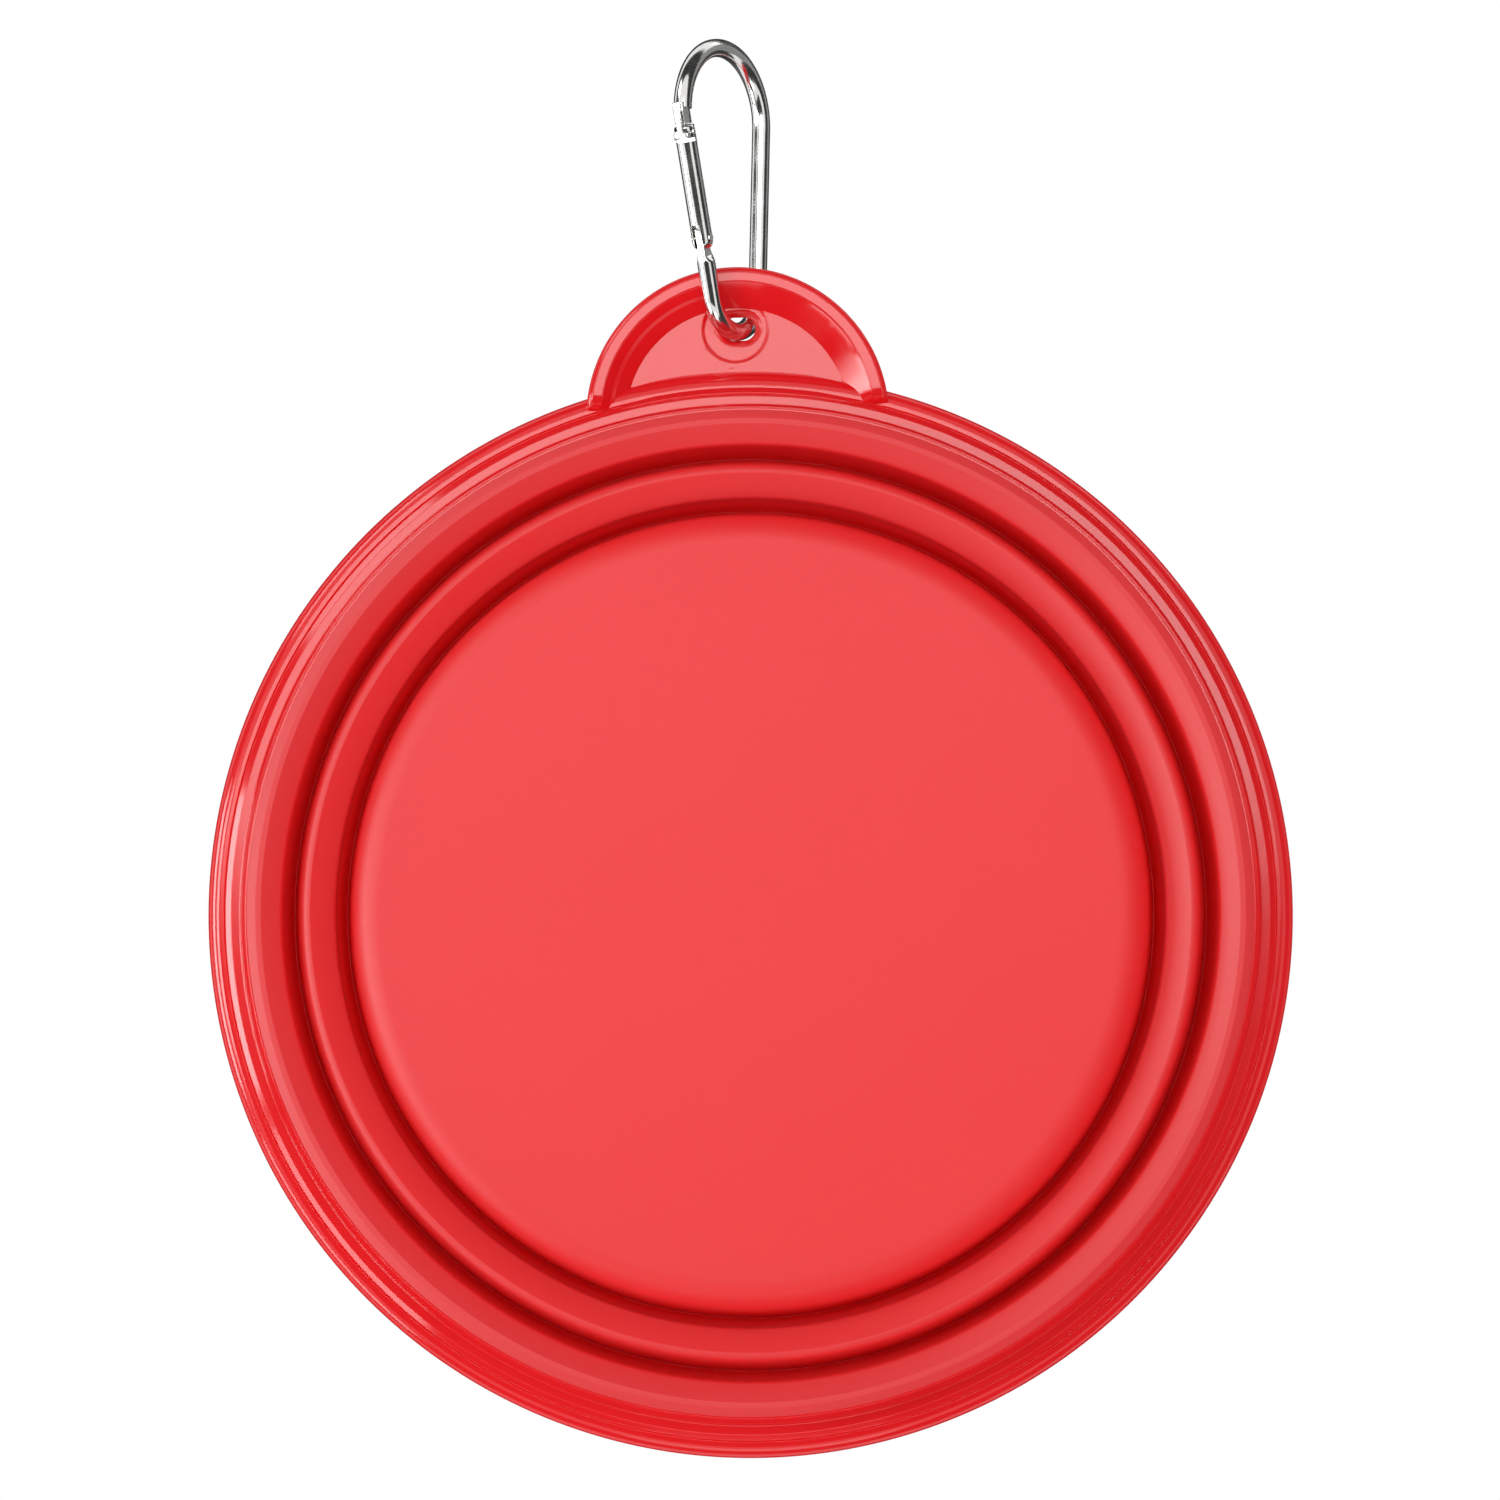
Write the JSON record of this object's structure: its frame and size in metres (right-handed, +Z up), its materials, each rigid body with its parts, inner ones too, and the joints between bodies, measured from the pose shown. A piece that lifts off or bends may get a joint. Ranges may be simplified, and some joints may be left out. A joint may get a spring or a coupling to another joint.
{
  "type": "collapsible silicone bowl",
  "caption": "Red collapsible travel bowl folded flat: soft silicone body with two fold webs in a hard rim, with a hanging tab and a small spring-gate carabiner.",
  "frame": {"origin": "centre of the flat underside of the base, on the surface that the bowl stands on", "axes": "+Z up, out of the bowl's mouth; +Y from the bowl's axis to the hanging tab; X across, along the rim beside the tab"},
  "size_m": [0.13, 0.1703, 0.0171],
  "materials": {
    "silicone": "satin red silicone rubber",
    "rim_plastic": "glossy red moulded plastic",
    "nickel": "bright nickel plate on steel wire"
  },
  "bodies": {
    "base": {"base_cup": "silicone"},
    "middle": {"middle_band": "silicone", "lower_fold": "silicone"},
    "rim": {"rim_ring": "rim_plastic", "wall_cuff": "silicone", "upper_fold": "silicone"},
    "carabiner": {"carabiner_frame": "nickel"},
    "gate": {"gate": "nickel", "hinge_pin": "nickel", "gate_spring": "nickel"},
    "plunger": {"gate_plunger": "nickel"}
  },
  "joints": [
    {"name": "lower_fold_slide", "type": "slide", "parent": "base", "child": "middle", "axis": [0, 0, 1], "range_m": [0, 0.019], "deforming": ["lower_fold"]},
    {"name": "upper_fold_slide", "type": "slide", "parent": "middle", "child": "rim", "axis": [0, 0, 1], "range_m": [0, 0.019], "deforming": ["upper_fold"]},
    {"name": "carabiner_swing", "type": "hinge", "parent": "rim", "child": "carabiner", "pos_m": [0, 0.0751, 0.0105], "axis": [-0.8299, -0.0028, -0.5578], "range_deg": [-70, 70]},
    {"name": "gate_hinge", "type": "hinge", "parent": "carabiner", "child": "gate", "pos_m": [0.00367, 0.08086, 0.00501], "axis": [0.8299, 0.0028, 0.5578], "range_deg": [0, 30], "stiffness_Nm_per_rad": 0.003, "springref_deg": -28.65},
    {"name": "plunger_slide", "type": "slide", "parent": "gate", "child": "plunger", "axis": [0.1338, 0.9698, -0.204], "range_m": [0, 0.00032], "deforming": ["gate_spring"]}
  ],
  "couplings": [
    {"joint": "plunger_slide", "follows": "gate_hinge", "m_per_rad": 0.000573}
  ]
}
